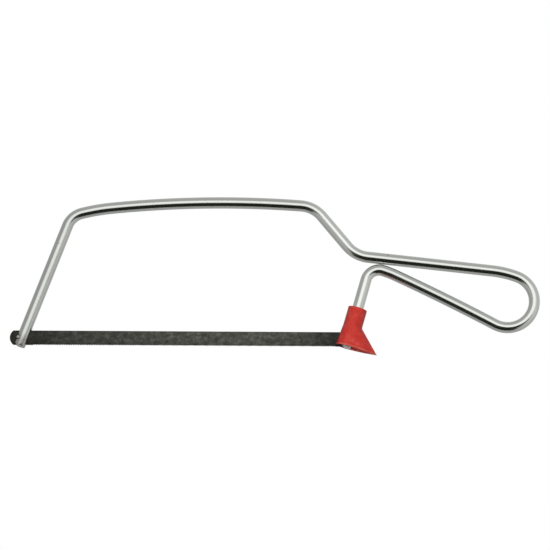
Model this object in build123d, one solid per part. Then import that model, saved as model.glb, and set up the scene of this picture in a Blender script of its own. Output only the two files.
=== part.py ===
from build123d import *
import math
import os

# Junior hacksaw. Millimetres. The origin is the centre of the front blade pin, in the
# middle plane of the saw. +X runs back along the blade to the handle, +Z is up, and
# +Y is across the saw.

# ---------------------------------------------------------------- driving dimensions

# Wire frame: one round wire, bent in the middle plane.
WIRE_DIAMETER = 5.2
FRONT_LEG_HEADING = 69.0        # degrees above +X, going up the front leg
FRONT_LEG_LENGTH = 59.4         # straight length, from the end face to the first bend
FRONT_END_BELOW_PIN = 3.5       # leg left below the pin, measured along the leg
REAR_END_BELOW_PIN = 4.2
PIN_OFFSET = 1.7                # pin axis from the leg's own axis, away from the throat
END_CHAMFER = 0.4
FOOT_RADIUS = 2.0               # on the front leg's foot, away from the throat

# Bends, in the order that they follow the front leg: radius of the wire's centre line
# and turn in degrees, where a positive turn is to the left. Straights lie between.
FRONT_SHOULDER = (9.2, -54.4)
FRONT_BOW = (92.0, -8.5)
LONG_BOW = (484.0, -10.1)
REAR_SHOULDER = (13.4, -46.1)
NECK_LENGTH = 17.8
HEEL = (14.2, 44.0)
HANDLE_TOP_LENGTH = 56.2
HANDLE_EASE = (45.0, -14.5)
HANDLE_LOOP = (12.05, -187.4)
LOWER_BAR_TURN = 3.0            # the handle's lower bar is very slightly bowed
CROWN_EASE = (45.0, 8.1)       # a gentle lead into the crown
HANDLE_CROWN = (6.0, 91.5)

# Slots and seats for the blade in the two legs.
SLOT_WIDTH = 0.85
SLOT_DEPTH = 10.0               # from the leg's end face, along the leg
SEAT_CLEARANCE = 0.05           # radial, round a pin

# Blade and its pins.
PIN_SPACING = 150.0
PIN_DIAMETER = 1.8
PIN_LENGTH = 4.6
PIN_CHAMFER = 0.25
BLADE_HEIGHT = 6.55
BLADE_THICKNESS = 0.65
BLADE_OVERHANG = 3.9            # blade beyond the centre of each pin
BLADE_END_RADIUS = 4.0
TOOTH_PITCH = 25.4 / 32
TOOTH_DEPTH = 0.3
FIRST_TOOTH = 7.0               # behind the front pin
LAST_TOOTH = 143.0

# Blade guard, in the rear leg's own directions: "back" is square to the leg and away
# from the throat, "up" runs along the leg from the level of the pins.
SLEEVE_RADIUS = 4.3
SLEEVE_BORE_CLEARANCE = 0.05    # radial, on the wire
SLEEVE_TOP = 14.6
HOOD_TOP = 6.3
HOOD_RIM = -3.65
HOOD_NOSE_RADIUS = 4.4
HOOD_NOSE_CENTRE = -0.8
HOOD_TAIL = 14.0
HOOD_TAIL_HALF_WIDTH = 0.25
SIDE_BOW_FORWARD = 0.36         # the hood's sides bow out: how far along, and how wide
SIDE_BOW_BACK = 0.66
SIDE_BOW_WIDTH = 0.77
ROUND_TAIL_ANGLE = 5.0          # the sleeve's share of the tail's edge, in degrees
GUARD_WALL = 1.1
CAVITY_TOP = 5.4
CAVITY_TAIL_INSET = 2.1         # the cavity's tail ends this far inside the hood's
GUARD_SLOT_WIDTH = 1.3
GUARD_SLOT_TOP = 3.4
SLEEVE_EDGE_RADIUS = 0.2

# ------------------------------------------------------------------ derived dimensions

WIRE_RADIUS = WIRE_DIAMETER / 2
PIN_RADIUS = PIN_DIAMETER / 2
SEAT_RADIUS = PIN_RADIUS + SEAT_CLEARANCE
BENDS = (
    FRONT_SHOULDER, FRONT_BOW, LONG_BOW, REAR_SHOULDER, HEEL, HANDLE_EASE, HANDLE_LOOP,
    CROWN_EASE, HANDLE_CROWN,
)
TOTAL_TURN = sum(turn for _, turn in BENDS) + LOWER_BAR_TURN
REAR_LEG_HEADING = FRONT_LEG_HEADING + TOTAL_TURN
FAR = 40.0                      # longer than any cut needs to reach


def direction(heading):
    """Unit vector in the saw's plane (X, Z) at a heading in degrees from +X."""
    angle = math.radians(heading)
    return Vector(math.cos(angle), math.sin(angle))


def left_of(heading):
    """Unit vector square to a heading, on its left."""
    return direction(heading + 90)


# -------------------------------------------------------------------- the wire's path

def follow(start, heading, steps):
    """Lines and arcs that follow each other from start.

    A step is a length for a straight, or a (radius, turn) pair for a bend.
    """
    edges = []
    for step in steps:
        toward = direction(heading)
        if isinstance(step, tuple):
            radius, turn = step
            edge = JernArc(start, toward, radius, turn)
            heading += turn
        else:
            edge = Line(start, start + toward * step)
        edges.append(edge)
        start = edge @ 1
    return edges, start


def front_end():
    """Centre of the front leg's end face."""
    pin_to_axis = left_of(FRONT_LEG_HEADING) * -PIN_OFFSET
    return pin_to_axis - direction(FRONT_LEG_HEADING) * FRONT_END_BELOW_PIN


def steps_to_rear_leg(lower_bar_length):
    """Every straight and bend from the front end to the top of the rear leg."""
    lower_bar = (lower_bar_length / math.radians(LOWER_BAR_TURN), LOWER_BAR_TURN)
    return [
        FRONT_LEG_LENGTH, FRONT_SHOULDER, FRONT_BOW, LONG_BOW, REAR_SHOULDER, NECK_LENGTH,
        HEEL, HANDLE_TOP_LENGTH, HANDLE_EASE, HANDLE_LOOP, lower_bar, CROWN_EASE,
        HANDLE_CROWN,
    ]


def rear_pin_for(lower_bar_length):
    """X of the rear pin, and the straight left in the rear leg down to its foot."""
    _, top = follow(front_end(), FRONT_LEG_HEADING, steps_to_rear_leg(lower_bar_length))
    down = direction(REAR_LEG_HEADING)
    back = left_of(REAR_LEG_HEADING)
    length_to_foot = -(top.Y + back.Y * PIN_OFFSET) / down.Y
    pin = top + down * length_to_foot + back * PIN_OFFSET
    return pin.X, length_to_foot


def closed_path():
    """The whole path, with the handle's lower bar cut to give the pin spacing."""
    trial = 50.0
    pin_x, _ = rear_pin_for(trial)
    longer_pin_x, _ = rear_pin_for(trial + 1)
    lower_bar_length = trial + (PIN_SPACING - pin_x) / (longer_pin_x - pin_x)
    _, length_to_foot = rear_pin_for(lower_bar_length)
    steps = steps_to_rear_leg(lower_bar_length) + [length_to_foot + REAR_END_BELOW_PIN]
    edges, end = follow(front_end(), FRONT_LEG_HEADING, steps)
    return edges, end


PATH_EDGES, REAR_END = closed_path()
FRONT_END = front_end()


def leg_plane(end, heading_up, back):
    """A leg's own plane: origin at its end, z up the leg and x away from the throat."""
    up = direction(heading_up)
    return Plane(
        origin=(end.X, 0, end.Y),
        x_dir=(back.X, 0, back.Y),
        z_dir=(up.X, 0, up.Y),
    )


FRONT_LEG = leg_plane(FRONT_END, FRONT_LEG_HEADING, left_of(FRONT_LEG_HEADING))
REAR_LEG = leg_plane(REAR_END, REAR_LEG_HEADING + 180, left_of(REAR_LEG_HEADING))


# ------------------------------------------------------------------------ wire frame

def bent_wire():
    """The wire, swept along its path, with both end faces chamfered."""
    path = Plane.XZ * Wire(PATH_EDGES)
    section = FRONT_LEG * Circle(WIRE_RADIUS)
    wire = sweep(section, path=path)
    ends = wire.faces().filter_by(GeomType.PLANE).edges()
    return chamfer(ends, END_CHAMFER)


def blade_slot(leg):
    """The saw cut up a leg's end, in the saw's plane."""
    return leg * Box(FAR, SLOT_WIDTH, 2 * SLOT_DEPTH)


def front_notch():
    """The U-shaped notch that holds the front pin, open away from the throat."""
    pin_level = FRONT_LEG * Pos(PIN_OFFSET, 0, FRONT_END_BELOW_PIN)
    round_bottom = pin_level * Rot(X=90) * Cylinder(SEAT_RADIUS, FAR)
    mouth = pin_level * Pos(FAR / 2, 0, 0) * Box(FAR, FAR, 2 * SEAT_RADIUS)
    return round_bottom + mouth


def foot_corner():
    """What the rounding takes off the front leg's foot, on the notch's side."""
    square = Pos(FAR / 2, 0, -FAR / 2) * Box(FAR, FAR, FAR)
    rounding = Rot(X=90) * Cylinder(FOOT_RADIUS, 2 * FAR)
    return FRONT_LEG * Pos(WIRE_RADIUS - FOOT_RADIUS, 0, FOOT_RADIUS) * (square - rounding)


def rear_seat():
    """The rear pin's bearing face and the step above it.

    The face is an arc about the front pin, so the pin stays clear of it while the
    blade swings down and out.
    """
    beyond_face = Rot(X=90) * Cylinder(PIN_SPACING + FAR, FAR)
    beyond_face -= Rot(X=90) * Cylinder(PIN_SPACING - SEAT_RADIUS, 2 * FAR)
    under_step = Pos(PIN_SPACING, 0, SEAT_RADIUS - FAR / 2) * Box(FAR, FAR, FAR)
    return beyond_face & under_step


def make_wire_frame():
    frame = bent_wire()
    frame -= blade_slot(FRONT_LEG)
    frame -= blade_slot(REAR_LEG)
    frame -= front_notch()
    frame -= foot_corner()
    frame -= rear_seat()
    return frame


# --------------------------------------------------------------------- blade and pins

def tooth_line():
    """The toothed edge, from the first gullet to the last. The teeth point forward."""
    count = int((LAST_TOOTH - FIRST_TOOTH) / TOOTH_PITCH)
    tip_level = -BLADE_HEIGHT / 2
    gullet_level = tip_level + TOOTH_DEPTH
    points = []
    for index in range(count):
        x = FIRST_TOOTH + index * TOOTH_PITCH
        points.append((x, gullet_level))
        points.append((x, tip_level))
    points.append((FIRST_TOOTH + count * TOOTH_PITCH, tip_level))
    return points


def blade_outline():
    """The blade's side: straight back, rounded ends and the toothed edge."""
    half = BLADE_HEIGHT / 2
    end_drop = BLADE_END_RADIUS - math.sqrt(BLADE_END_RADIUS**2 - half**2)
    front_tip = -BLADE_OVERHANG
    rear_tip = PIN_SPACING + BLADE_OVERHANG
    front_corner = front_tip + end_drop
    rear_corner = rear_tip - end_drop
    edge_points = [(front_corner, -half), (FIRST_TOOTH, -half)]
    edge_points += tooth_line()
    edge_points.append((rear_corner, -half))
    edges = Polyline(edge_points)
    edges += ThreePointArc((rear_corner, -half), (rear_tip, 0), (rear_corner, half))
    edges += Line((rear_corner, half), (front_corner, half))
    edges += ThreePointArc((front_corner, half), (front_tip, 0), (front_corner, -half))
    return make_face(edges)


def make_blade():
    blade = Plane.XZ * extrude(blade_outline(), BLADE_THICKNESS / 2, both=True)
    for x in (0, PIN_SPACING):
        blade -= Pos(x, 0, 0) * Rot(X=90) * Cylinder(PIN_RADIUS, FAR)
    return blade


def make_pin(x):
    """A straight steel pin across the blade, with both ends chamfered."""
    pin = Rot(X=90) * Cylinder(PIN_RADIUS, PIN_LENGTH)
    rims = pin.edges().filter_by(GeomType.CIRCLE)
    return Pos(x, 0, 0) * chamfer(rims, PIN_CHAMFER)


# ------------------------------------------------------------------------ blade guard

def guard_plane():
    """The guard's own plane: on the rear leg's axis, level with the pins."""
    up = direction(REAR_LEG_HEADING + 180)
    level = REAR_END - up * (REAR_END.Y / up.Y)
    return leg_plane(level, REAR_LEG_HEADING + 180, left_of(REAR_LEG_HEADING))


def round_section(radius, level):
    """A circle about the leg, in four arcs that match the four edges of the hood."""
    tail = Vector(radius, 0).rotate(Axis.Z, ROUND_TAIL_ANGLE)
    side = Vector(radius, 0).rotate(Axis.Z, (90 + ROUND_TAIL_ANGLE) / 2)
    edges = ThreePointArc((0, radius), (-radius, 0), (0, -radius))
    edges += ThreePointArc((0, -radius), (side.X, -side.Y), (tail.X, -tail.Y))
    edges += ThreePointArc((tail.X, -tail.Y), (radius, 0), (tail.X, tail.Y))
    edges += ThreePointArc((tail.X, tail.Y), (side.X, side.Y), (0, radius))
    return Pos(0, 0, level) * make_face(edges)


def hood_section(nose_radius, tail, level):
    """The hood seen from above: a half-round nose, and two bowed sides to the tail."""
    nose = HOOD_NOSE_CENTRE
    run = tail - nose
    near = [
        (nose, -nose_radius),
        (nose + SIDE_BOW_FORWARD * run, -nose_radius),
        (nose + SIDE_BOW_BACK * run, -SIDE_BOW_WIDTH * nose_radius),
        (tail, -HOOD_TAIL_HALF_WIDTH),
    ]
    far = [(x, -y) for x, y in reversed(near)]
    edges = ThreePointArc((nose, nose_radius), (nose - nose_radius, 0), (nose, -nose_radius))
    edges += Bezier(near)
    edges += Line(near[-1], far[0])
    edges += Bezier(far)
    return Pos(0, 0, level) * make_face(edges)


def hood():
    """The outside of the hood, flared from the sleeve down to its rim."""
    rim = hood_section(HOOD_NOSE_RADIUS, HOOD_TAIL, HOOD_RIM)
    top = round_section(SLEEVE_RADIUS, HOOD_TOP)
    return loft([rim, top], ruled=True)


def cavity():
    """The hollow in the hood, open at the rim."""
    rim = hood_section(HOOD_NOSE_RADIUS - GUARD_WALL, HOOD_TAIL - CAVITY_TAIL_INSET, HOOD_RIM)
    top = round_section(SLEEVE_RADIUS - GUARD_WALL, CAVITY_TOP)
    return loft([rim, top], ruled=True)


def blade_way():
    """The slot in the hood's nose that the blade passes through, open at the rim."""
    round_top = Rot(X=90, Z=90) * Cylinder(GUARD_SLOT_WIDTH / 2, FAR)
    sides = Pos(0, 0, -FAR / 2) * Box(FAR, GUARD_SLOT_WIDTH, FAR)
    return Pos(-FAR / 2, 0, GUARD_SLOT_TOP - GUARD_SLOT_WIDTH / 2) * (round_top + sides)


def make_blade_guard():
    sleeve = Pos(0, 0, HOOD_TOP) * Cylinder(
        SLEEVE_RADIUS, SLEEVE_TOP - HOOD_TOP, align=(Align.CENTER, Align.CENTER, Align.MIN)
    )
    guard = hood() + sleeve
    sleeve_mouth = guard.edges().sort_by(Axis.Z)[-1]
    guard = fillet(sleeve_mouth, SLEEVE_EDGE_RADIUS)
    guard -= cavity()
    guard -= Cylinder(WIRE_RADIUS + SLEEVE_BORE_CLEARANCE, FAR)
    guard -= blade_way()
    return guard_plane() * guard


# ----------------------------------------------------------------------------- output

def main():
    os.makedirs("parts", exist_ok=True)
    nodes = {
        "wire_frame": make_wire_frame(),
        "blade": make_blade(),
        "front_blade_pin": make_pin(0),
        "rear_blade_pin": make_pin(PIN_SPACING),
        "blade_guard": make_blade_guard(),
    }
    for name, shape in nodes.items():
        export_step(shape, f"parts/{name}.step")


main()
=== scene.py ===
import cmath
import math

import bmesh
import bpy
from mathutils import Matrix, Vector


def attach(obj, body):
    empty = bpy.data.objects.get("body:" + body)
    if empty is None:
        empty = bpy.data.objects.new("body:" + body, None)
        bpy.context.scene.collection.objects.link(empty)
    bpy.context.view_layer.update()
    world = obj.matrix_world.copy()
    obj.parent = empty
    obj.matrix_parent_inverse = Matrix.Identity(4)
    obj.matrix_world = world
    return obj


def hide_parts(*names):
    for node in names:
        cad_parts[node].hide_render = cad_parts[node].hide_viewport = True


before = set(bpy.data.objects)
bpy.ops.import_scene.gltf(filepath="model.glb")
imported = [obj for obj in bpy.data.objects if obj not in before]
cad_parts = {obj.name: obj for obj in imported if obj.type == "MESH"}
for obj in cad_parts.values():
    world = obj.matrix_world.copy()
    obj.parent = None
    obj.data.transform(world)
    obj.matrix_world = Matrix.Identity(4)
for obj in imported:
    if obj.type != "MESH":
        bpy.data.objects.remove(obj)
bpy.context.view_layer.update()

# Junior hacksaw. The pieces are built in millimetres, in the CAD frame, and scaled to
# metres at the end: the origin is the front blade pin, +X runs back to the handle, +Z
# is up. A place in the saw's middle plane is a complex number, X + Z*1j.

MM = 0.001
MICRON = 0.000001
WHITE = (1.0, 1.0, 1.0, 1.0)

# -------- driving dimensions

# The wire: each bend is (radius of the centre line, turn in degrees, left positive).
WIRE_RADIUS = 2.6
FRONT_LEG_HEADING = 69.0    # degrees above +X, going up the front leg
FRONT_LEG_LENGTH = 59.4
FRONT_END_BELOW_PIN = 3.5   # leg left below the pin, along the leg
REAR_END_BELOW_PIN = 4.2
PIN_OFFSET = 1.7            # pin axis from the leg's own axis, away from the throat
FRONT_SHOULDER = (9.2, -54.4)
FRONT_BOW = (92.0, -8.5)
LONG_BOW = (484.0, -10.1)
REAR_SHOULDER = (13.4, -46.1)
NECK_LENGTH = 17.8
HEEL = (14.2, 44.0)
HANDLE_TOP_LENGTH = 56.2
HANDLE_EASE = (45.0, -14.5)
HANDLE_LOOP = (12.05, -187.4)
LOWER_BAR_TURN = 3.0        # the handle's lower bar is very slightly bowed
CROWN_EASE = (45.0, 8.1)
HANDLE_CROWN = (6.0, 91.5)

# Blade, pins and their seats.
PIN_SPACING = 150.0
PIN_RADIUS = 0.9
PIN_LENGTH = 4.6
PIN_CHAMFER = 0.25
PIN_DOME = 0.06             # how far a pin's end bulges
SEAT_CLEARANCE = 0.05       # radial, round a pin
SEAT_FOOT_ANGLE = -6.0      # about the front pin, below the foot of the rear leg
SLOT_WIDTH = 0.85
SLOT_DEPTH = 10.0
NOTCH_WIDENING = 0.2        # the notch is worn wider than its pin, above and below
BLADE_HEIGHT = 6.55
BLADE_THICKNESS = 0.65
BLADE_OVERHANG = 3.9        # blade beyond the centre of each pin
BLADE_END_RADIUS = 4.0
TOOTH_PITCH = 25.4 / 32
TOOTH_DEPTH = 0.3
TOOTH_PROFILE = (           # shares of the pitch behind the tip, and of the depth
    (-0.22, 1.1), (-0.07, 1.0), (0.0, 0.0), (0.42, 0.3),
)
FIRST_TOOTH = 7.0           # behind the front pin
LAST_TOOTH = 143.0

# Guard, in the rear leg's own directions: back from the leg's axis, side, and up.
SLEEVE_RADIUS = 4.3
BORE_RADIUS = 2.65
SLEEVE_TOP = 14.6
HOOD_TOP = 6.3
HOOD_RIM = -3.65
HOOD_NOSE_RADIUS = 4.4
HOOD_NOSE_CENTRE = -0.8
HOOD_TAIL = 14.0
HOOD_TAIL_HALF_WIDTH = 0.25
SIDE_BOW_FORWARD = 0.36     # the hood's sides bow out: how far along, and how wide
SIDE_BOW_BACK = 0.66
SIDE_BOW_WIDTH = 0.77
ROUND_TAIL_ANGLE = 5.0      # half the sleeve's share of the tail's edge, degrees
GUARD_WALL = 1.1
CAVITY_TOP = 5.4
CAVITY_TAIL_INSET = 2.1     # the cavity's tail ends this far inside the hood's
GUARD_SLOT_WIDTH = 1.3
GUARD_SLOT_TOP = 3.4

# Surface detail that the CAD leaves out.
END_ROUNDING = 0.45         # the wire's ends are tumbled smooth
FOOT_ROUNDING = 2.0         # the front leg's foot, on the notch's side
BEND_FLATTENING = 0.02      # share of the radius, in a tight bend
TIGHT_BEND = 20.0           # bends of less than this radius are flattened
BLADE_EDGE = 0.07           # softening of the blade's long edges
TOOTH_SET = 0.16            # sideways, each way
TEETH_IN_A_WAVE = 6
SET_REACH = 2.2             # tooth depths that the set reaches up the blade
GUARD_TOP_EDGE = 0.2
GUARD_BORE_EDGE = 0.2
RIM_GROOVE_LEVEL = 1.0      # above the rim
RIM_GROOVE_DEPTH = 0.1
RIM_GROOVE_HALF_WIDTH = 0.35
RIM_OUTER_ROUNDING = 0.15
RIM_INNER_ROUNDING = 0.35
HOOD_TOP_SOFTNESS = 0.5     # where the sleeve flows into the hood
NICKS = (                   # small knocks in the plating, as (x, y, z)
    (165.6, -1.9, 38.2), (84.4, -2.6, 61.6), (231.8, -1.6, 9.9), (186.0, -1.7, 24.6),
)
NICK_RADIUS = 0.6

# Mesh fineness.
WIRE_SEGMENTS = 64
RING_SPACING = 1.5
RING_TURN = 2.5             # degrees of bend between rings
END_STEPS = 6
TIP_COLUMNS = 14            # of the blade, in each rounded end
HOLE_MARGIN = 3.5           # from a pin hole's centre to the next plain column
BEFORE_THE_TEETH = 0.4      # share of a pitch, to the last plain column
BLADE_ROWS = (0.12, 0.25, 0.5, 0.75, 0.92)
PIN_SIDES = 48              # flats round a pin and round its hole
PIN_EDGE_STEPS = 6
PIN_END_RINGS = (0.75, 0.5, 0.25)
PIN_SHOULDER = 0.1          # plain side kept apart from the chamfer's shading
NOSE_STEPS = 32             # round the guard
SIDE_STEPS = 36
TAIL_STEPS = 4
EDGE_STEPS = 5              # over the guard's rounded edges
BORE_EDGE_STEPS = 4
CAVITY_STEPS = 18
BORE_STEPS = 5
GUARD_RING_SPACING = 0.3
GROOVE_RING_SPACING = 0.12
RIM_MARGIN = 0.1            # from the side's last ring to the rim's rounding
SLIVER = 0.003              # the smallest edge kept beside a cut
FAR = 40.0                  # longer than any cut needs to reach
WIRE_UV = "along_and_round"
UV_PER_MM = 0.01

# -------- derived dimensions

BENDS = (
    FRONT_SHOULDER, FRONT_BOW, LONG_BOW, REAR_SHOULDER, HEEL, HANDLE_EASE, HANDLE_LOOP,
    CROWN_EASE, HANDLE_CROWN,
)
TOTAL_TURN = sum(turn for _, turn in BENDS) + LOWER_BAR_TURN
REAR_LEG_HEADING = FRONT_LEG_HEADING + TOTAL_TURN
SEAT_RADIUS = PIN_RADIUS + SEAT_CLEARANCE
BLADE_HALF = BLADE_HEIGHT / 2


# -------- mesh helpers

def mesh_from(bm, name):
    """A mesh made from a bmesh, which is freed."""
    mesh = bpy.data.meshes.new(name)
    bm.to_mesh(mesh)
    bm.free()
    return mesh


def placed(name, data):
    """A scene object for a mesh, a lamp or the camera."""
    holder = bpy.data.objects.new(name, data)
    bpy.context.scene.collection.objects.link(holder)
    return holder


def temporary_object(bm):
    """A scene object for a cut, made from a bmesh, which is freed."""
    bmesh.ops.recalc_face_normals(bm, faces=bm.faces)
    return placed("working_object", mesh_from(bm, "working_mesh"))


def drop_slivers(mesh):
    """Close up the edges and faces that a cut has left too small to matter."""
    bm = bmesh.new()
    bm.from_mesh(mesh)
    bmesh.ops.remove_doubles(bm, verts=bm.verts, dist=SLIVER)
    bmesh.ops.dissolve_degenerate(bm, dist=SLIVER, edges=bm.edges)
    bm.to_mesh(mesh)
    bm.free()


def carve(bm, cutters):
    """A bmesh's solid with each cutter's solid cut out of it, as a mesh."""
    target = temporary_object(bm)
    tools = [temporary_object(cutter) for cutter in cutters]
    for tool in tools:
        cut = target.modifiers.new("cut", "BOOLEAN")
        cut.operation = "DIFFERENCE"
        cut.solver = "EXACT"
        cut.object = tool
    depsgraph = bpy.context.evaluated_depsgraph_get()
    mesh = bpy.data.meshes.new_from_object(target.evaluated_get(depsgraph))
    for working in [target] + tools:
        old_mesh = working.data
        bpy.data.objects.remove(working)
        bpy.data.meshes.remove(old_mesh)
    drop_slivers(mesh)
    return mesh


def finished_piece(name, mesh, material, body, node, sharp_angle):
    """A shown piece in metres, with its material, riding on its CAD body."""
    mesh.name = name
    mesh.transform(Matrix.Diagonal((MM, MM, MM, 1)))
    mesh.materials.clear()
    mesh.materials.append(material)
    mesh.shade_smooth()
    mesh.set_sharp_from_angle(angle=math.radians(sharp_angle))
    piece = placed(name, mesh)
    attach(piece, body)
    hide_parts(node)


def bridge(bm, ring, next_ring):
    """Quads between two closed rings of the same length."""
    count = len(ring)
    for index in range(count):
        after = (index + 1) % count
        bm.faces.new((ring[index], ring[after], next_ring[after], next_ring[index]))


def extruded(outline, place, start, finish):
    """A solid from an outline pushed from start to finish; place() gives each corner."""
    bm = bmesh.new()
    near = [bm.verts.new(place(point, start)) for point in outline]
    far = [bm.verts.new(place(point, finish)) for point in outline]
    bridge(bm, near, far)
    bm.faces.new(reversed(near))
    bm.faces.new(far)
    return bm


def across_the_saw(outline, place):
    """A cutter that reaches out of the saw on both sides."""
    return extruded(outline, place, -FAR, FAR)


def in_saw_plane(point, side):
    """A corner from the saw's own coordinates: real is X, imag is up."""
    return (point.real, side, point.imag)


def quarter_turn(steps):
    """(how far along, how far out) of a rounding, both 0 to 1, in even steps of angle."""
    angles = [math.pi / 2 * k / steps for k in range(steps + 1)]
    return [(1 - math.cos(angle), math.sin(angle)) for angle in angles]


def arc_points(centre, radius, start, finish, count):
    """Points on an arc, from a start angle to a finish angle in degrees."""
    points = []
    for k in range(count + 1):
        angle = start + (finish - start) * k / count
        points.append(centre + radius * direction(angle))
    return points


# -------- the wire's path

def direction(heading):
    """Unit step in the saw's plane at a heading in degrees from +X."""
    return cmath.rect(1, math.radians(heading))


def straight_stations(start, heading, length):
    """(place, heading) in even steps along a straight, without its start."""
    count = max(1, math.ceil(length / RING_SPACING))
    toward = direction(heading)
    return [(start + toward * length * k / count, heading) for k in range(1, count + 1)]


def bend_stations(start, heading, radius, turn):
    """(place, heading) in even steps round a bend, without its start."""
    side = math.copysign(90, turn)
    centre = start + direction(heading + side) * radius
    length = radius * math.radians(abs(turn))
    count = math.ceil(max(abs(turn) / RING_TURN, length / RING_SPACING))
    stations = []
    for k in range(1, count + 1):
        here = heading + turn * k / count
        stations.append((centre - direction(here + side) * radius, here))
    return stations


def follow(start, heading, steps):
    """Places, headings and bend tightness along straights and bends in turn."""
    stations = [(start, heading, 0.0)]
    for step in steps:
        if isinstance(step, tuple):
            radius, turn = step
            found = bend_stations(start, heading, radius, turn)
            tightness = 1.0 if radius < TIGHT_BEND else 0.0
        else:
            found = straight_stations(start, heading, step)
            tightness = 0.0
        stations += [(place, toward, tightness) for place, toward in found]
        start, heading = found[-1]
    return stations


def front_end():
    """Centre of the front leg's end face."""
    pin_to_axis = direction(FRONT_LEG_HEADING + 90) * -PIN_OFFSET
    return pin_to_axis - direction(FRONT_LEG_HEADING) * FRONT_END_BELOW_PIN


def steps_to_rear_leg(lower_bar_length):
    """Every straight and bend from the front end to the top of the rear leg."""
    lower_bar = (lower_bar_length / math.radians(LOWER_BAR_TURN), LOWER_BAR_TURN)
    return [
        FRONT_LEG_LENGTH, FRONT_SHOULDER, FRONT_BOW, LONG_BOW, REAR_SHOULDER, NECK_LENGTH,
        HEEL, HANDLE_TOP_LENGTH, HANDLE_EASE, HANDLE_LOOP, lower_bar, CROWN_EASE,
        HANDLE_CROWN,
    ]


def rear_pin_for(lower_bar_length):
    """X of the rear pin, and the straight left in the rear leg down to its foot."""
    steps = steps_to_rear_leg(lower_bar_length)
    top = follow(front_end(), FRONT_LEG_HEADING, steps)[-1][0]
    down = direction(REAR_LEG_HEADING)
    back = direction(REAR_LEG_HEADING + 90)
    length_to_foot = -(top.imag + back.imag * PIN_OFFSET) / down.imag
    return (top + down * length_to_foot + back * PIN_OFFSET).real, length_to_foot


def wire_stations():
    """The whole path, with the handle's lower bar cut to give the pin spacing."""
    trial = 50.0
    pin_x, _ = rear_pin_for(trial)
    longer_pin_x, _ = rear_pin_for(trial + 1)
    lower_bar_length = trial + (PIN_SPACING - pin_x) / (longer_pin_x - pin_x)
    _, length_to_foot = rear_pin_for(lower_bar_length)
    steps = steps_to_rear_leg(lower_bar_length) + [length_to_foot + REAR_END_BELOW_PIN]
    return follow(front_end(), FRONT_LEG_HEADING, steps)


STATIONS = wire_stations()
REAR_END = STATIONS[-1][0]


# -------- wire frame

def smoothed_tightness():
    """Each station's share of the bend flattening, eased in and out of the bends."""
    reach = 4                   # stations, each way
    values = [tightness for _, _, tightness in STATIONS]
    eased = []
    for index in range(len(values)):
        near = values[max(0, index - reach):index + reach + 1]
        eased.append(sum(near) / len(near))
    return eased


def ring_of_wire(bm, place, heading, in_plane, across):
    """A ring of vertices round the path, starting on the far side of the saw."""
    sideways = direction(heading + 90)
    ring = []
    for k in range(WIRE_SEGMENTS):
        angle = 2 * math.pi * k / WIRE_SEGMENTS
        point = place + sideways * in_plane * math.sin(angle)
        ring.append(bm.verts.new(in_saw_plane(point, across * math.cos(angle))))
    return ring


def rounded_end(place, inward):
    """(place, radius) for the rings of a rounded end, from the end face inward."""
    rings = []
    for along, out in quarter_turn(END_STEPS)[:-1]:
        radius = WIRE_RADIUS - END_ROUNDING * (1 - out)
        rings.append((place + inward * END_ROUNDING * along, radius))
    return rings


def wire_sections():
    """(place, heading, in-plane radius, radius across) for each ring, end to end."""
    first_place, first_heading, _ = STATIONS[0]
    last_place, last_heading, _ = STATIONS[-1]
    front = rounded_end(first_place, direction(first_heading))
    rear = rounded_end(last_place, -direction(last_heading))
    sections = [(place, first_heading, radius, radius) for place, radius in front]
    for (place, heading, _), share in zip(STATIONS, smoothed_tightness()):
        if min(abs(place - first_place), abs(place - last_place)) < END_ROUNDING:
            continue
        in_plane = WIRE_RADIUS * (1 - BEND_FLATTENING * share)
        across = WIRE_RADIUS * (1 + BEND_FLATTENING * share / 2)
        sections.append((place, heading, in_plane, across))
    sections += [(place, last_heading, radius, radius) for place, radius in reversed(rear)]
    return sections


def bent_wire():
    """The whole wire as rings, with u running along it and v round it, in UVs."""
    bm = bmesh.new()
    uv = bm.loops.layers.uv.new(WIRE_UV)
    sections = wire_sections()
    travelled = 0.0
    rings = []
    distances = []
    for index, (place, heading, in_plane, across) in enumerate(sections):
        if index:
            travelled += abs(place - sections[index - 1][0])
        rings.append(ring_of_wire(bm, place, heading, in_plane, across))
        distances.append(travelled)
    for index in range(len(rings) - 1):
        near, far = rings[index], rings[index + 1]
        for k in range(WIRE_SEGMENTS):
            after = (k + 1) % WIRE_SEGMENTS
            face = bm.faces.new((near[k], near[after], far[after], far[k]))
            corners = ((index, k), (index, k + 1), (index + 1, k + 1), (index + 1, k))
            for loop, (ring_index, around) in zip(face.loops, corners):
                u = distances[ring_index] * UV_PER_MM
                loop[uv].uv = (u, around / WIRE_SEGMENTS)
    bm.faces.new(reversed(rings[0]))
    bm.faces.new(rings[-1])
    return bm


def leg_place(end, back, up):
    """A function from (leg coordinates, side) to a corner: real is back, imag is up."""
    def place(point, side):
        return in_saw_plane(end + back * point.real + up * point.imag, side)

    return place


FRONT_BACK = direction(FRONT_LEG_HEADING + 90)
FRONT_UP = direction(FRONT_LEG_HEADING)
REAR_BACK = direction(REAR_LEG_HEADING + 90)
REAR_UP = direction(REAR_LEG_HEADING + 180)
ON_FRONT_LEG = leg_place(front_end(), FRONT_BACK, FRONT_UP)
ON_REAR_LEG = leg_place(REAR_END, REAR_BACK, REAR_UP)


def blade_slot(place):
    """The saw cut up a leg's end: a slab in the saw's plane, with a rounded top."""
    half = SLOT_WIDTH / 2
    profile = [complex(-half, -SLOT_DEPTH), complex(half, -SLOT_DEPTH)]
    profile += arc_points(complex(0, SLOT_DEPTH - half), half, 0, 180, count=8)

    def slab(point, reach):
        return place(complex(reach, point.imag), point.real)

    return extruded(profile, slab, -FAR, FAR)


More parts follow.
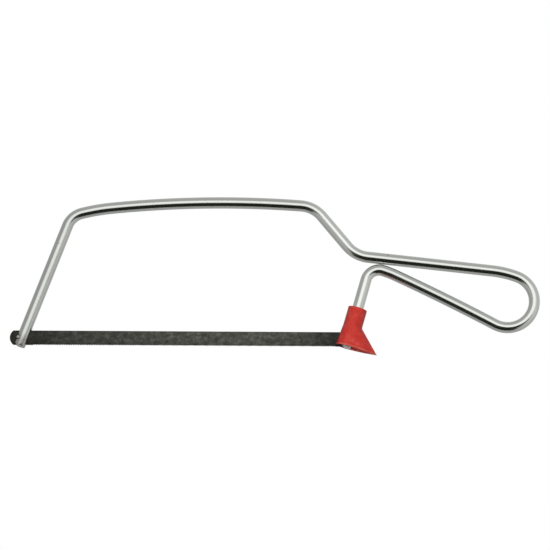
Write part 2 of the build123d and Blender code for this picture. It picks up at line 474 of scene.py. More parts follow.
def front_notch():
    """The U-shaped notch that holds the front pin, open away from the throat."""
    half = SEAT_RADIUS + NOTCH_WIDENING
    middle = complex(PIN_OFFSET + NOTCH_WIDENING, FRONT_END_BELOW_PIN)
    outline = arc_points(middle, half, 90, 270, count=24)
    outline += [middle + complex(FAR, -half), middle + complex(FAR, half)]
    return across_the_saw(outline, ON_FRONT_LEG)


def foot_corner():
    """What the rounding takes off the front leg's foot, on the notch's side."""
    centre = complex(WIRE_RADIUS - FOOT_ROUNDING, FOOT_ROUNDING)
    outline = arc_points(centre, FOOT_ROUNDING, -90, 0, count=16)
    outline += [complex(FAR, FOOT_ROUNDING), complex(FAR, -FAR), complex(centre.real, -FAR)]
    return across_the_saw(outline, ON_FRONT_LEG)


def rear_seat():
    """The rear pin's bearing face, an arc about the front pin, and the step above."""
    radius = PIN_SPACING - SEAT_RADIUS
    step_angle = math.degrees(math.asin(SEAT_RADIUS / radius))
    outline = arc_points(0, radius, SEAT_FOOT_ANGLE, step_angle, count=40)
    outline += [complex(PIN_SPACING + FAR, SEAT_RADIUS), complex(PIN_SPACING + FAR, -FAR)]
    outline.append(complex(outline[0].real, -FAR))
    return across_the_saw(outline, in_saw_plane)


def build_wire_frame(material):
    """The wire with its blade slots, pin notch, rounded foot and rear seat cut."""
    cutters = [
        blade_slot(ON_FRONT_LEG), blade_slot(ON_REAR_LEG), front_notch(), foot_corner(),
        rear_seat(),
    ]
    finished_piece(
        "bent_wire_frame", carve(bent_wire(), cutters), material,
        body="frame", node="wire_frame", sharp_angle=35,
    )


# -------- blade and pins

def end_half_height(x):
    """Half the blade's height at x, where the ends are rounded."""
    from_tip = min(x + BLADE_OVERHANG, PIN_SPACING + BLADE_OVERHANG - x)
    if from_tip >= BLADE_END_RADIUS:
        return BLADE_HALF
    reach = BLADE_END_RADIUS - from_tip
    return min(BLADE_HALF, math.sqrt(max(0.0, BLADE_END_RADIUS**2 - reach**2)))


def tip_columns():
    """Distances from a tip of the blade to the columns of its rounded end."""
    end_drop = BLADE_END_RADIUS - math.sqrt(BLADE_END_RADIUS**2 - BLADE_HALF**2)
    return [end_drop * along for along, _ in quarter_turn(TIP_COLUMNS)[1:]]


def blade_columns():
    """(x, bottom, set) for each column of the blade, from the front tip to the rear."""
    front = [-BLADE_OVERHANG + from_tip for from_tip in tip_columns()]
    rear = [PIN_SPACING + BLADE_OVERHANG - from_tip for from_tip in tip_columns()]
    columns = [(x, -end_half_height(x), 0.0) for x in front]
    for x in (0.0, HOLE_MARGIN, FIRST_TOOTH - BEFORE_THE_TEETH * TOOTH_PITCH):
        columns.append((x, -BLADE_HALF, 0.0))
    count = int((LAST_TOOTH - FIRST_TOOTH) / TOOTH_PITCH)
    for index in range(count):
        wave = math.sin(2 * math.pi * index / TEETH_IN_A_WAVE)
        for behind, cut_away in TOOTH_PROFILE:
            x = FIRST_TOOTH + index * TOOTH_PITCH + behind * TOOTH_PITCH
            columns.append((x, -BLADE_HALF + cut_away * TOOTH_DEPTH, wave))
    for x in (FIRST_TOOTH + count * TOOTH_PITCH, PIN_SPACING - HOLE_MARGIN, PIN_SPACING):
        columns.append((x, -BLADE_HALF, 0.0))
    columns += [(x, -end_half_height(x), 0.0) for x in reversed(rear)]
    return columns


def column_points(x, bottom, wave):
    """(height, share of the thickness, shift) from the toothed edge to the back."""
    top = end_half_height(x)
    set_root = -BLADE_HALF + SET_REACH * TOOTH_DEPTH
    edge = min(BLADE_EDGE, (top - bottom) / 4)
    low, high = bottom + edge, top - edge
    levels = [(bottom, 1 - BLADE_EDGE / BLADE_THICKNESS), (low, 1.0)]
    levels += [(low + (high - low) * share, 1.0) for share in BLADE_ROWS]
    levels += [(high, 1.0), (top, 1 - 2 * BLADE_EDGE / BLADE_THICKNESS)]
    points = []
    for z, thickness_share in levels:
        bend = max(0.0, (set_root - z) / (set_root + BLADE_HALF))
        points.append((z, thickness_share, TOOTH_SET * wave * bend))
    return points


def outside_of(sheet):
    """The corners round a sheet of columns: bottom, rear tip, back and front tip."""
    bottom = [column[0] for column in sheet]
    back = [column[-1] for column in reversed(sheet)]
    return bottom + sheet[-1][1:-1] + back + sheet[0][-2:0:-1]


def blade_solid():
    """Two sheets of columns, joined round the outside."""
    bm = bmesh.new()
    near_sheet, far_sheet = [], []
    for x, bottom, wave in blade_columns():
        near, far = [], []
        for z, share, shift in column_points(x, bottom, wave):
            half = BLADE_THICKNESS / 2 * share
            near.append(bm.verts.new((x, shift - half, z)))
            far.append(bm.verts.new((x, shift + half, z)))
        near_sheet.append(near)
        far_sheet.append(far)
    for sheet in (near_sheet, far_sheet):
        for left, right in zip(sheet, sheet[1:]):
            for k in range(len(left) - 1):
                bm.faces.new((left[k], right[k], right[k + 1], left[k + 1]))
    bridge(bm, outside_of(near_sheet), outside_of(far_sheet))
    return bm


def pin_hole(x):
    """A pin's hole, with its corners clear of the edge along the blade's middle."""
    start = 180 / PIN_SIDES
    outline = arc_points(complex(x, 0), PIN_RADIUS, start, start + 360, PIN_SIDES)
    return across_the_saw(outline[:-1], in_saw_plane)


def build_blade(material):
    """The toothed strip with its two pin holes cut."""
    holes = [pin_hole(0), pin_hole(PIN_SPACING)]
    finished_piece(
        "toothed_blade", carve(blade_solid(), holes), material,
        body="blade", node="blade", sharp_angle=35,
    )


def pin_profile():
    """(distance from the pin's middle, radius) from the middle to the end's centre."""
    half = PIN_LENGTH / 2
    profile = [(0.0, PIN_RADIUS), (half - PIN_CHAMFER - PIN_SHOULDER, PIN_RADIUS)]
    for inward, out in quarter_turn(PIN_EDGE_STEPS):
        along = half - PIN_DOME - PIN_CHAMFER * (1 - out)
        profile.append((along, PIN_RADIUS - PIN_CHAMFER * inward))
    for share in PIN_END_RINGS:
        profile.append((half - PIN_DOME * share**2, (PIN_RADIUS - PIN_CHAMFER) * share))
    return profile


def build_pin(name, node, x, material):
    """A turned pin: the profile spun about the pin's axis, both ways from its middle."""
    bm = bmesh.new()
    half_profile = pin_profile()
    profile = [(-along, radius) for along, radius in reversed(half_profile[1:])]
    profile += half_profile
    rings = []
    for along, radius in profile:
        ring = []
        for k in range(PIN_SIDES):
            angle = 2 * math.pi * (k + 0.5) / PIN_SIDES
            spot = (x + radius * math.cos(angle), along, radius * math.sin(angle))
            ring.append(bm.verts.new(spot))
        rings.append(ring)
    for near, far in zip(rings, rings[1:]):
        bridge(bm, near, far)
    bm.faces.new(rings[0])
    bm.faces.new(reversed(rings[-1]))
    bmesh.ops.recalc_face_normals(bm, faces=bm.faces)
    finished_piece(
        name, mesh_from(bm, name), material,
        body="blade", node=node, sharp_angle=50,
    )


# -------- blade guard

def bezier(points, share):
    """A point on a cubic Bezier curve."""
    a, b, c, d = points
    rest = 1 - share
    return a * rest**3 + 3 * b * rest**2 * share + 3 * c * rest * share**2 + d * share**3


def hood_outline(nose_radius, tail):
    """The hood from above: half-round nose, two bowed sides and a narrow tail."""
    nose = HOOD_NOSE_CENTRE
    run = tail - nose
    tail_centre = tail - HOOD_TAIL_HALF_WIDTH
    side = (
        complex(nose, -nose_radius),
        complex(nose + SIDE_BOW_FORWARD * run, -nose_radius),
        complex(nose + SIDE_BOW_BACK * run, -SIDE_BOW_WIDTH * nose_radius),
        complex(tail_centre, -HOOD_TAIL_HALF_WIDTH),
    )
    outline = arc_points(nose, nose_radius, 90, 270, NOSE_STEPS)[:-1]
    outline += [bezier(side, k / SIDE_STEPS) for k in range(SIDE_STEPS)]
    outline += arc_points(tail_centre, HOOD_TAIL_HALF_WIDTH, -90, 90, TAIL_STEPS)[:-1]
    outline += [bezier(side, 1 - k / SIDE_STEPS).conjugate() for k in range(SIDE_STEPS)]
    return outline


def round_outline(radius):
    """A circle about the leg with the same number of points in the same stretches."""
    outline = arc_points(0, radius, 90, 270, NOSE_STEPS)[:-1]
    outline += arc_points(0, radius, -90, -ROUND_TAIL_ANGLE, SIDE_STEPS)[:-1]
    outline += arc_points(0, radius, -ROUND_TAIL_ANGLE, ROUND_TAIL_ANGLE, TAIL_STEPS)[:-1]
    outline += arc_points(0, radius, ROUND_TAIL_ANGLE, 90, SIDE_STEPS)[:-1]
    return outline


def mixed(one, other, share):
    """An outline between two others, point by point."""
    return [a + (b - a) * share for a, b in zip(one, other)]


def drawn_in(outline, depth):
    """An outline moved inward, square to itself."""
    moved = []
    count = len(outline)
    for index, point in enumerate(outline):
        along = outline[(index + 1) % count] - outline[index - 1]
        outward = along / abs(along) * -1j
        moved.append(point - outward * depth)
    return moved


def flare(level):
    """How far the outside has changed from round (0) to the hood's rim shape (1)."""
    share = (HOOD_TOP - level) / (HOOD_TOP - HOOD_RIM)
    soft = HOOD_TOP_SOFTNESS / (HOOD_TOP - HOOD_RIM)
    if share <= -soft:
        return 0.0
    if share < soft:
        return (share + soft) ** 2 / (4 * soft)
    return share


def rim_outline():
    return hood_outline(HOOD_NOSE_RADIUS, HOOD_TAIL)


def cavity_outline():
    return hood_outline(HOOD_NOSE_RADIUS - GUARD_WALL, HOOD_TAIL - CAVITY_TAIL_INSET)


def guard_outside():
    """(outline, level) down the outside, from the sleeve's mouth to the rim."""
    rings = []
    for down, out in quarter_turn(EDGE_STEPS):
        radius = SLEEVE_RADIUS - GUARD_TOP_EDGE * (1 - out)
        rings.append((round_outline(radius), SLEEVE_TOP - GUARD_TOP_EDGE * down))
    top, rim = round_outline(SLEEVE_RADIUS), rim_outline()
    level = SLEEVE_TOP - 2 * GUARD_TOP_EDGE
    while level > HOOD_RIM + RIM_OUTER_ROUNDING + RIM_MARGIN:
        from_groove = level - (HOOD_RIM + RIM_GROOVE_LEVEL)
        share = max(0.0, 1 - (from_groove / RIM_GROOVE_HALF_WIDTH) ** 2)
        outline = drawn_in(mixed(top, rim, flare(level)), RIM_GROOVE_DEPTH * share)
        rings.append((outline, level))
        near_the_groove = level < HOOD_RIM + 2 * RIM_GROOVE_LEVEL
        level -= GROOVE_RING_SPACING if near_the_groove else GUARD_RING_SPACING
    return rings


def guard_rim():
    """(outline, level) across the rim, from the outside to the cavity."""
    outer, inner = rim_outline(), cavity_outline()
    outside, inside = [], []
    for turned, out in quarter_turn(EDGE_STEPS):
        share = turned * RIM_OUTER_ROUNDING / GUARD_WALL
        level = HOOD_RIM + RIM_OUTER_ROUNDING * (1 - out)
        outside.append((mixed(outer, inner, share), level))
        share = 1 - turned * RIM_INNER_ROUNDING / GUARD_WALL
        level = HOOD_RIM + RIM_INNER_ROUNDING * (1 - out)
        inside.append((mixed(outer, inner, share), level))
    return outside + inside[::-1]


def guard_inside():
    """(outline, level) up the cavity and the bore, back to the sleeve's mouth."""
    rim, top = cavity_outline(), round_outline(SLEEVE_RADIUS - GUARD_WALL)
    start = HOOD_RIM + RIM_INNER_ROUNDING
    rings = []
    for k in range(1, CAVITY_STEPS + 1):
        level = start + (CAVITY_TOP - start) * k / CAVITY_STEPS
        share = (CAVITY_TOP - level) / (CAVITY_TOP - HOOD_RIM)
        rings.append((mixed(top, rim, share), level))
    bore_height = SLEEVE_TOP - GUARD_BORE_EDGE - CAVITY_TOP
    for k in range(BORE_STEPS + 1):
        rings.append((round_outline(BORE_RADIUS), CAVITY_TOP + bore_height * k / BORE_STEPS))
    for wider, up in quarter_turn(BORE_EDGE_STEPS)[1:]:
        radius = BORE_RADIUS + GUARD_BORE_EDGE * wider
        rings.append((round_outline(radius), SLEEVE_TOP - GUARD_BORE_EDGE * (1 - up)))
    return rings


# Where the rear leg's axis meets the level of the pins.
GUARD_ORIGIN = REAR_END - REAR_UP * (REAR_END.imag / REAR_UP.imag)


def on_guard(point, level):
    """A corner from the guard's own coordinates: point is back + side*1j."""
    spot = GUARD_ORIGIN + REAR_BACK * point.real + REAR_UP * level
    return in_saw_plane(spot, point.imag)


def guard_shell():
    """One closed skin: outside, rim, cavity, bore and the sleeve's mouth."""
    bm = bmesh.new()
    rings = []
    for outline, level in guard_outside() + guard_rim() + guard_inside():
        rings.append([bm.verts.new(on_guard(point, level)) for point in outline])
    for ring, next_ring in zip(rings, rings[1:] + rings[:1]):
        bridge(bm, ring, next_ring)
    return bm


def blade_way():
    """The slot in the hood's nose that the blade passes through, open at the rim."""
    half = GUARD_SLOT_WIDTH / 2
    profile = [complex(half, -FAR), complex(-half, -FAR)]
    profile += arc_points(complex(0, GUARD_SLOT_TOP - half), half, 180, 0, count=12)

    def slab(point, back):
        return on_guard(complex(back, point.real), point.imag)

    return extruded(profile, slab, -FAR, 0.0)


def build_guard(material):
    """The moulded boot with its slot for the blade cut."""
    finished_piece(
        "moulded_guard", carve(guard_shell(), [blade_way()]), material,
        body="guard", node="blade_guard", sharp_angle=40,
    )


# -------- shader helpers

class Nodes:
    """A node tree being built. add() makes a node; a socket given as an input is linked."""

    def __init__(self, tree):
        self.tree = tree
        self.tree.nodes.clear()

    def add(self, kind, inputs=None, **settings):
        node = self.tree.nodes.new(kind)
        for name, value in settings.items():
            setattr(node, name, value)
        for key, value in (inputs or {}).items():
            if isinstance(value, bpy.types.NodeSocket):
                self.tree.links.new(value, node.inputs[key])
            else:
                node.inputs[key].default_value = value
        return node.outputs

    def place(self):
        """Object coordinates, in metres."""
        return self.add("ShaderNodeTexCoord")["Object"]

    def math(self, operation, first, second=0.0, third=0.0):
        inputs = {0: first, 1: second, 2: third}
        return self.add("ShaderNodeMath", inputs, operation=operation)[0]

    def vector(self, operation, first, second=(0.0, 0.0, 0.0)):
        return self.add("ShaderNodeVectorMath", {0: first, 1: second}, operation=operation)

    def ramp(self, value, stops):
        """A colour ramp from (place, colour or grey) stops."""
        outputs = self.add("ShaderNodeValToRGB", {"Fac": value})
        ramp = outputs[0].node.color_ramp
        while len(ramp.elements) > 1:
            ramp.elements.remove(ramp.elements[-1])
        for index, (place, colour) in enumerate(stops):
            if not isinstance(colour, tuple):
                colour = (colour,) * 3
            element = ramp.elements[0] if index == 0 else ramp.elements.new(place)
            element.position = place
            element.color = colour + (1.0,)
        return outputs["Color"]

    def blend(self, share, one, other, mode="MIX"):
        """From one colour to the other as share goes from 0 to 1."""
        inputs = {0: share, 6: one, 7: other}
        return self.add("ShaderNodeMix", inputs, data_type="RGBA", blend_type=mode)[2]

    def times(self, one, other):
        return self.blend(1.0, one, other, "MULTIPLY")

    def noise(self, coordinates, scale=1.0, detail=2.0, roughness=0.5):
        """Smooth noise, mostly 0.3 to 0.7; scale is in cells per unit of coordinates."""
        inputs = {
            "Vector": coordinates, "Scale": scale, "Detail": detail, "Roughness": roughness,
        }
        return self.add("ShaderNodeTexNoise", inputs)["Fac"]

    def stretched(self, coordinates, scale, slant=0.0):
        """Coordinates scaled along each axis, then turned by a slant in radians."""
        inputs = {"Vector": coordinates, "Scale": scale, "Rotation": (0.0, 0.0, slant)}
        return self.add("ShaderNodeMapping", inputs)[0]

    def range(self, value, low, high, new_low=0.0, new_high=1.0, ease="LINEAR"):
        """A value between two bounds, moved to between two others."""
        inputs = {0: value, 1: low, 2: high, 3: new_low, 4: new_high}
        return self.add("ShaderNodeMapRange", inputs, interpolation_type=ease)[0]

    def bump(self, height, depth, normal=None):
        """Relief of a depth in metres, on top of a relief made before."""
        inputs = {"Height": height, "Distance": depth}
        if normal is not None:
            inputs["Normal"] = normal
        return self.add("ShaderNodeBump", inputs)[0]

    def light(self, colour, strength):
        """Even light from the surroundings."""
        inputs = {"Color": colour, "Strength": strength}
        return self.add("ShaderNodeBackground", inputs)[0]

    def choice(self, share, one, other):
        """One shader where share is 0, the other where it is 1."""
        return self.add("ShaderNodeMixShader", {0: share, 1: one, 2: other})[0]


def new_material(name):
    """A node material, and its tree to build in."""
    material = bpy.data.materials.new(name)
    material.use_nodes = True
    return material, Nodes(material.node_tree)


def surface(nodes, **inputs):
    """A principled shader as the surface; _ in an input's name stands for a space."""
    named = {name.replace("_", " "): value for name, value in inputs.items()}
    shader = nodes.add("ShaderNodeBsdfPrincipled", named)[0]
    nodes.add("ShaderNodeOutputMaterial", {"Surface": shader})


# -------- materials

WIRE_LENGTH = sum(abs(b[0] - a[0]) for a, b in zip(STATIONS, STATIONS[1:]))
PLATE_DARK, PLATE_LIGHT = (0.832, 0.850, 0.808), (0.862, 0.880, 0.838)
PAINTED_LIGHT_ALONG_WIRE = (            # share of the wire's length, brightness: painted light, each stretch lighter or darker as the light falls on it
    (0.0, 0.78), (0.14, 0.80), (0.18, 0.865), (0.40, 0.87), (0.44, 0.96), (0.47, 0.96),
    (0.52, 0.875), (0.63, 0.89), (0.70, 0.93), (0.77, 0.89), (0.80, 0.85), (0.89, 0.85),
    (0.93, 0.97), (1.0, 0.97),
)
BUFFING_TONE = ((0.35, 0.93), (0.6, 1.0))
PLATE_ROUGHNESS = (0.14, 0.17)
BUFFING_SLANT = 0.5         # radians
DULL_END = 3.0              # millimetres at the wire's ends that are dull
RAGGED_EDGE = 6.0           # millimetres that the scuffing's edge wanders
SCUFFED = (0.36, 0.33, 0.28, 1.0)
SCUFFING = 0.5              # share of that colour at the very end
WORN_THROUGH = (0.28, 0.27, 0.25, 1.0)
DULL_ROUGHER = 0.16
WORN_ROUGHER = 0.25
SPECKS = (0.70, 0.76)       # from none to full, by noise
SPECKLED_PATCHES = (0.5, 0.7)
NICK_CORE = 0.35            # share of a nick's radius that is worn through


def worn_spots(nodes, place):
    """1 where the plating is worn through: scattered specks, and the nicks."""
    specks = nodes.range(nodes.noise(place, scale=900.0), *SPECKS)
    patches = nodes.range(nodes.noise(place, scale=60.0), *SPECKLED_PATCHES)
    wear = nodes.math("MULTIPLY", specks, patches)
    for spot in NICKS:
        away = nodes.vector("DISTANCE", place, tuple(value * MM for value in spot))["Value"]
        nick = nodes.range(away, NICK_CORE * NICK_RADIUS * MM, NICK_RADIUS * MM, 1.0, 0.0)
        wear = nodes.math("MAXIMUM", wear, nick)
    return wear


def plated_wire_material():
    """Bright plating over drawn wire, buffed round it, dulled and nicked by use, and painted
    light along it.
    """
    material, nodes = new_material("bright_plated_wire")
    uv = nodes.add("ShaderNodeUVMap", uv_map=WIRE_UV)[0]
    tangent = nodes.add("ShaderNodeTangent", direction_type="UV_MAP", uv_map=WIRE_UV)[0]
    place = nodes.place()
    cloud = nodes.noise(place, scale=60.0)
    fine_rings = nodes.noise(nodes.stretched(uv, (900.0, 3.0, 1.0)), detail=3.0, roughness=0.6)
    slanting = nodes.stretched(uv, (240.0, 7.0, 1.0), BUFFING_SLANT)
    buffing = nodes.noise(slanting, detail=3.0, roughness=0.6)
    drawn_lines = nodes.noise(nodes.stretched(uv, (0.5, 60.0, 1.0)))
    wear = worn_spots(nodes, place)
    along = nodes.math("DIVIDE", nodes.add("ShaderNodeSeparateXYZ", {0: uv})[0], UV_PER_MM)
    from_end = nodes.math("MINIMUM", along, nodes.math("SUBTRACT", WIRE_LENGTH, along))
    wander = nodes.noise(place, scale=700.0, detail=3.0)
    from_end = nodes.math("MULTIPLY_ADD", wander, -RAGGED_EDGE, from_end)
    dull = nodes.range(from_end, 0.0, DULL_END, 1.0, 0.0)
    colour = nodes.ramp(cloud, [(0.3, PLATE_DARK), (0.7, PLATE_LIGHT)])
    colour = nodes.times(colour, nodes.ramp(buffing, BUFFING_TONE))
    # painted light: each stretch of the wire made lighter or darker as the light falls on it
    share_along = nodes.range(along, 0.0, WIRE_LENGTH)
    colour = nodes.times(colour, nodes.ramp(share_along, PAINTED_LIGHT_ALONG_WIRE))
    colour = nodes.blend(nodes.math("MULTIPLY", dull, SCUFFING), colour, SCUFFED)
    colour = nodes.blend(wear, colour, WORN_THROUGH)
    roughness = nodes.range(fine_rings, 0.3, 0.7, *PLATE_ROUGHNESS)
    roughness = nodes.math("MULTIPLY_ADD", wear, WORN_ROUGHER, roughness)
    roughness = nodes.math("MULTIPLY_ADD", dull, DULL_ROUGHER, roughness)
    relief = nodes.bump(fine_rings, 0.12 * MICRON)
    relief = nodes.bump(drawn_lines, 1.2 * MICRON, relief)
    surface(
        nodes, Base_Color=colour, Metallic=1.0, Roughness=roughness,
        Anisotropic=0.8, Tangent=tangent, Normal=relief,
    )
    return material


OXIDE_TONES = (             # from the deepest mottle to the palest
    (0.37, (0.022, 0.0224, 0.0180)), (0.50, (0.050, 0.0508, 0.0424)),
    (0.63, (0.100, 0.1015, 0.0850)),
)
PAINTED_SHADE_ALONG_BLADE = (            # share of the pin spacing, brightness: painted shade, darker toward each end, near the legs
    (0.0, 0.24), (0.07, 0.31), (0.14, 0.56), (0.30, 0.68), (0.45, 0.88), (0.72, 1.0),
    (0.82, 0.86), (0.90, 0.50), (0.96, 0.30),
)
PAINTED_SHADE_UP_BLADE = (               # share of the height from the teeth up, brightness: painted shade toward the teeth, and darker along the back edge
    (0.0, 0.66), (0.25, 0.86), (0.6, 1.0), (0.93, 0.96), (1.0, 0.80),
)
GRAIN_SHARE = 0.4           # of the mottling; the rest is in larger blotches
BLADE_ROUGHNESS = (0.48, 0.62)


def blade_material():
    """Blued spring steel: near-black oxide, mottled, with faint rolling lines, and painted
    shade toward its ends and teeth.
    """
    material, nodes = new_material("blued_blade_steel")
    place = nodes.place()
    upright = nodes.stretched(place, (1.0, 1.0, 1.4))
    blotches = nodes.noise(upright, scale=330.0, detail=4.0, roughness=0.65)
    grain = nodes.noise(place, scale=1500.0, detail=3.0, roughness=0.6)
    lines = nodes.stretched(place, (60.0, 600.0, 2600.0))
    rolling = nodes.noise(lines, detail=3.0, roughness=0.6)
    along, _, height = nodes.add("ShaderNodeSeparateXYZ", {0: place})
    tone = nodes.math("MULTIPLY", blotches, 1 - GRAIN_SHARE)
    tone = nodes.math("MULTIPLY_ADD", grain, GRAIN_SHARE, tone)
    colour = nodes.ramp(tone, OXIDE_TONES)
    # painted shade: the blade darker toward each end, near the legs
    share_along = nodes.range(along, 0.0, PIN_SPACING * MM)
    colour = nodes.times(colour, nodes.ramp(share_along, PAINTED_SHADE_ALONG_BLADE))
    # painted shade toward the teeth, and darker along the back edge
    share_up = nodes.range(height, -BLADE_HALF * MM, BLADE_HALF * MM)
    colour = nodes.times(colour, nodes.ramp(share_up, PAINTED_SHADE_UP_BLADE))
    unevenness = nodes.math("ADD", blotches, rolling)
    relief = nodes.bump(grain, 20 * MICRON)
    surface(
        nodes, Base_Color=colour, Specular_IOR_Level=0.2,
        Roughness=nodes.range(unevenness, 0.7, 1.3, *BLADE_ROUGHNESS),
        Normal=nodes.bump(rolling, 15 * MICRON, relief),
    )
    return material


STEEL_DARK, STEEL_LIGHT = (0.24, 0.24, 0.225), (0.36, 0.36, 0.34)
PIN_ROUGHNESS = (0.28, 0.42)


def pin_material():
    """Turned steel: faint rings round its side, a little dull."""
    material, nodes = new_material("turned_pin_steel")
    place = nodes.place()
    grain = nodes.noise(place, scale=2500.0, detail=3.0)
    turning = nodes.noise(nodes.stretched(place, (400.0, 9000.0, 400.0)))
    surface(
        nodes, Base_Color=nodes.ramp(grain, [(0.3, STEEL_DARK), (0.7, STEEL_LIGHT)]),
        Metallic=1.0, Roughness=nodes.range(turning, 0.3, 0.7, *PIN_ROUGHNESS),
        Normal=nodes.bump(turning, 10 * MICRON),
    )
    return material


RED_TONES = (               # from the deepest cloud to the palest
    (0.30, (0.35, 0.013, 0.008)), (0.50, (0.39, 0.023, 0.0155)),
    (0.70, (0.435, 0.046, 0.034)),
)
# painted shade: the rim's groove coloured a darker red
GROOVE_SHADE_RED = (0.30, 0.014, 0.009, 1.0)
GROOVE_SHADE = 0.2          # share of that painted shade in the rim's groove
GROOVE_SHADE_REACH = 0.22   # millimetres above and below the groove
# painted highlight: the rim's lip coloured paler, as if catching the light
LIP_HIGHLIGHT_RED = (0.46, 0.12, 0.10, 1.0)
LIP_TOP = (0.55, 0.8)       # millimetres above the rim, where the painted highlight fades out
LIP_HIGHLIGHT_SHARE = (0.1, 0.65)
HIGHLIGHT_PATCHES = (0.46, 0.64)   # from least to most painted highlight, by noise
PLASTIC_ROUGHNESS = (0.36, 0.52)
GLOW_DEPTHS = (0.0012, 0.0003, 0.0002)  # of red, green and blue light, in metres


def level_on_guard(nodes, place):
    """Height along the rear leg above the level of the pins, in metres."""
    from_origin = nodes.vector("SUBTRACT", place, in_saw_plane(GUARD_ORIGIN * MM, 0.0))[0]
    return nodes.vector("DOT_PRODUCT", from_origin, in_saw_plane(REAR_UP, 0.0))["Value"]


def guard_material():
    """Red moulded plastic: a fine moulded grain, clouded, with a painted highlight along the
    rim and painted shade in its groove.
    """
    material, nodes = new_material("red_moulded_plastic")
    place = nodes.place()
    level = level_on_guard(nodes, place)
    cloud = nodes.noise(place, scale=260.0, detail=3.0, roughness=0.6)
    grain = nodes.noise(place, scale=3500.0)
    tall = nodes.stretched(place, (1.0, 1.0, 0.35))
    # noise for the painted highlight's patches and for the roughness
    highlight_and_roughness_noise = nodes.noise(tall, scale=700.0, detail=4.0, roughness=0.65)
    # painted highlight along the rim's lip, broken up by noise
    lip_low, lip_high = ((HOOD_RIM + above) * MM for above in LIP_TOP)
    lip = nodes.range(level, lip_low, lip_high, 1.0, 0.0)
    painted_lip_highlight = nodes.math("MULTIPLY", lip, nodes.range(highlight_and_roughness_noise, *HIGHLIGHT_PATCHES, *LIP_HIGHLIGHT_SHARE))
    # painted shade in the rim's groove
    groove_level = (HOOD_RIM + RIM_GROOVE_LEVEL) * MM
    groove = nodes.math("COMPARE", level, groove_level, GROOVE_SHADE_REACH * MM)
    colour = nodes.ramp(cloud, RED_TONES)
    colour = nodes.blend(nodes.math("MULTIPLY", groove, GROOVE_SHADE), colour, GROOVE_SHADE_RED)
    colour = nodes.blend(painted_lip_highlight, colour, LIP_HIGHLIGHT_RED)
    relief = nodes.bump(grain, 20 * MICRON)
    surface(
        nodes, Base_Color=colour, IOR=1.46, Specular_IOR_Level=0.5,
        Roughness=nodes.range(highlight_and_roughness_noise, 0.3, 0.7, *PLASTIC_ROUGHNESS),
        Normal=nodes.bump(cloud, 80 * MICRON, relief),
        Subsurface_Weight=0.08, Subsurface_Radius=GLOW_DEPTHS,
        Subsurface_Scale=1.0,
    )
    return material


# -------- light, floor, camera

# Distances in this section are in metres.

# What the bright metal reflects, by the angle about the saw's length: 0 is level and
# toward the camera, 90 is overhead, 180 is level and behind.
FRONT_REFLECTIONS = (
    (-180.0, 0.80), (-152.0, 0.42), (-130.0, 0.36), (-118.0, 0.52),
    (-107.0, 0.38), (-95.0, 0.38), (-12.0, 0.55), (-2.0, 0.90),
    (8.0, 1.20), (18.0, 1.20), (30.0, 1.08), (41.0, 0.56), (52.0, 0.47), (90.0, 0.49),
    (135.0, 0.60), (150.0, 1.0), (180.0, 1.0),
)
SIDE_REFLECTIONS = (
    (-180.0, 0.46), (-75.0, 0.46), (-30.0, 0.58), (0.0, 0.50), (45.0, 0.48), (90.0, 0.52),
    (180.0, 0.48),
)
LEFT_EASE = (0.30, 0.68)    # where the front gives way to the side, by sideways lean
RIGHT_EASE = (0.10, 0.90)
BRIGHTEST = 1.5
BRIGHTER_TO_THE_RIGHT = 0.18    # share of the brightest, for a full lean
EVEN_LIGHT = 0.28           # on the blade and the guard, from all round


def reflections(nodes, angle, stops):
    """Brightness round the saw's length from (angle, brightness) stops."""
    scaled = [((degrees + 180) / 360, value / BRIGHTEST) for degrees, value in stops]
    return nodes.ramp(nodes.range(angle, -math.pi, math.pi), scaled)


def make_surroundings():
    """White to the camera, even white light, and a soft studio for the reflections."""
    world = bpy.data.worlds.new("white_studio")
    bpy.context.scene.world = world
    world.use_nodes = True
    nodes = Nodes(world.node_tree)
    toward = nodes.add("ShaderNodeTexCoord")["Generated"]
    x, y, z = nodes.add("ShaderNodeSeparateXYZ", {0: toward})
    angle = nodes.math("ARCTAN2", z, nodes.math("MULTIPLY", y, -1.0))
    front = reflections(nodes, angle, FRONT_REFLECTIONS)
    side = reflections(nodes, angle, SIDE_REFLECTIONS)
    to_the_right = nodes.range(x, *RIGHT_EASE, ease="SMOOTHSTEP")
    leftward = nodes.math("MULTIPLY", x, -1.0)
    to_the_left = nodes.range(leftward, *LEFT_EASE, ease="SMOOTHSTEP")
    studio = nodes.blend(nodes.math("ADD", to_the_left, to_the_right), front, side)
    rising = nodes.math("MULTIPLY_ADD", x, BRIGHTER_TO_THE_RIGHT * BRIGHTEST, BRIGHTEST)
    ray = nodes.add("ShaderNodeLightPath")
    even, reflected = nodes.light(WHITE, EVEN_LIGHT), nodes.light(studio, rising)
    not_seen = nodes.choice(ray["Is Glossy Ray"], even, reflected)
    shown = nodes.choice(ray["Is Camera Ray"], not_seen, nodes.light(WHITE, 1.0))
    nodes.add("ShaderNodeOutputWorld", {"Surface": shown})


SAW_MIDDLE = Vector((0.115, 0.0, 0.03))
SOFTBOXES = (               # name, place, width, and power in watts
    ("key_softbox", (0.3, -1.8, 0.7), 0.7, 31.0),
    ("fill_softbox", (-0.2, -1.3, -0.9), 0.6, 13.0),
    ("back_softbox", (0.2, 1.8, 0.6), 0.7, 24.0),
)


def make_softbox(name, location, width, power):
    """A large square lamp aimed at the saw, which the bright metal doesn't reflect."""
    lamp = bpy.data.lights.new(name, "AREA")
    lamp.size = width
    lamp.energy = power
    holder = placed(name, lamp)
    holder.location = location
    toward = SAW_MIDDLE - Vector(location)
    holder.rotation_euler = toward.to_track_quat("-Z", "Y").to_euler()
    holder.visible_glossy = False
    holder.visible_camera = False


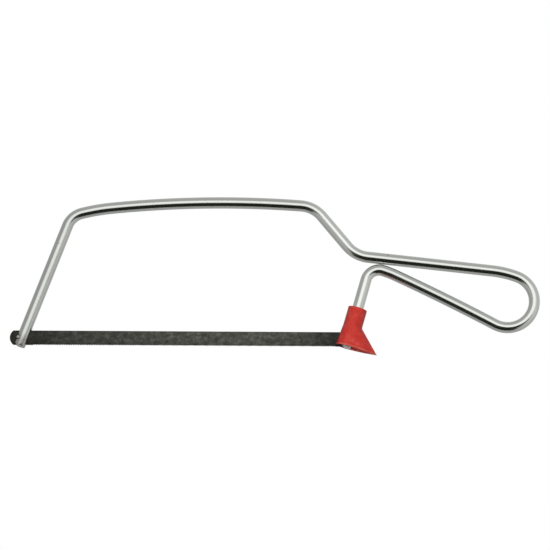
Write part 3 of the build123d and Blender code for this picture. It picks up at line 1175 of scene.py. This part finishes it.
def staged(bm, name, material, unseen_by):
    """A piece of the stage, which the named kinds of ray pass by."""
    piece = placed(name, mesh_from(bm, name))
    piece.data.materials.append(material)
    for kind in unseen_by:
        setattr(piece, "visible_" + kind, False)
    return piece


CARD_RADIUS = 0.6           # the black card bends round the saw's length
CARD_FROM, CARD_TO = -9.0, -78.0
CARD_TOP_ENDS = (-0.14, 0.57)
CARD_FOOT_ENDS = (-0.34, 0.40)
CARD_HEIGHT = 0.03
CARD_STEPS = 24
CARD_BLACK = (0.016, 0.018, 0.013, 1.0)


def make_black_card():
    """The matt card whose reflection draws the dark line along the bright wire."""
    material, nodes = new_material("black_card")
    dark = nodes.add("ShaderNodeEmission", {"Color": CARD_BLACK})[0]
    nodes.add("ShaderNodeOutputMaterial", {"Surface": dark})
    bm = bmesh.new()
    edges = []
    arc = arc_points(0, CARD_RADIUS, CARD_FROM, CARD_TO, CARD_STEPS)
    for step, spot in enumerate(arc):
        share = step / CARD_STEPS
        corners = []
        for top_x, foot_x in zip(CARD_TOP_ENDS, CARD_FOOT_ENDS):
            x = top_x + (foot_x - top_x) * share
            corners.append(bm.verts.new((x, -spot.real, CARD_HEIGHT + spot.imag)))
        edges.append(corners)
    for near, far in zip(edges, edges[1:]):
        bm.faces.new((near[0], near[1], far[1], far[0]))
    staged(bm, "black_card", material, ("camera", "diffuse", "shadow", "transmission"))


FLOOR_LEVEL = -1.5
FLOOR_REACH = 40.0
FLOOR_TONES = [(0.3, 0.88), (0.7, 0.91)]
FLOOR_FADE = (1.0, 5.0)     # how far from the saw it fades into the white


def make_floor():
    """A pale, lit floor well below the saw, which isn't seen from underneath."""
    material, nodes = new_material("pale_floor")
    place = nodes.place()
    tone = nodes.ramp(nodes.noise(place, scale=0.8), FLOOR_TONES)
    away = nodes.vector("LENGTH", place)["Value"]
    colour = nodes.blend(nodes.range(away, *FLOOR_FADE), tone, WHITE)
    lit = nodes.add("ShaderNodeEmission", {"Color": colour})[0]
    clear = nodes.add("ShaderNodeBsdfTransparent")[0]
    from_below = nodes.add("ShaderNodeNewGeometry")["Backfacing"]
    shown = nodes.choice(from_below, lit, clear)
    nodes.add("ShaderNodeOutputMaterial", {"Surface": shown})
    bm = bmesh.new()
    bmesh.ops.create_grid(bm, x_segments=8, y_segments=8, size=FLOOR_REACH)
    floor = staged(bm, "studio_floor", material, ("glossy", "diffuse"))
    floor.location = (0, 0, FLOOR_LEVEL)


CAMERA_AIM = Vector((0.11490, 0.0, 0.02938))
CAMERA_DISTANCE = 6.0
CAMERA_LIFT = 12.0          # degrees that the camera looks upward
CAMERA_ROLL = 0.31          # degrees
PICTURE_WIDTH = 0.24695     # across the picture, at the saw


def make_camera():
    """A long lens a little below the saw's level, looking along +Y and up."""
    lift = math.radians(CAMERA_LIFT)
    roll = math.radians(CAMERA_ROLL)
    ahead = Vector((0, math.cos(lift), math.sin(lift)))
    level_right = Vector((1, 0, 0))
    level_up = level_right.cross(ahead)
    right = level_right * math.cos(roll) + level_up * math.sin(roll)
    up = level_up * math.cos(roll) - level_right * math.sin(roll)
    camera = bpy.data.cameras.new("camera")
    camera.lens = camera.sensor_width * CAMERA_DISTANCE / PICTURE_WIDTH
    holder = placed("camera", camera)
    turn = Matrix((right, up, -ahead)).transposed().to_4x4()
    holder.matrix_world = Matrix.Translation(CAMERA_AIM - ahead * CAMERA_DISTANCE) @ turn
    bpy.context.scene.camera = holder


# -------- the scene

build_wire_frame(plated_wire_material())
build_blade(blade_material())
steel = pin_material()
build_pin("front_cross_pin", "front_blade_pin", 0.0, steel)
build_pin("rear_cross_pin", "rear_blade_pin", PIN_SPACING, steel)
build_guard(guard_material())

make_surroundings()
for softbox in SOFTBOXES:
    make_softbox(*softbox)
make_black_card()
make_floor()
make_camera()
bpy.context.scene.view_settings.view_transform = "Standard"
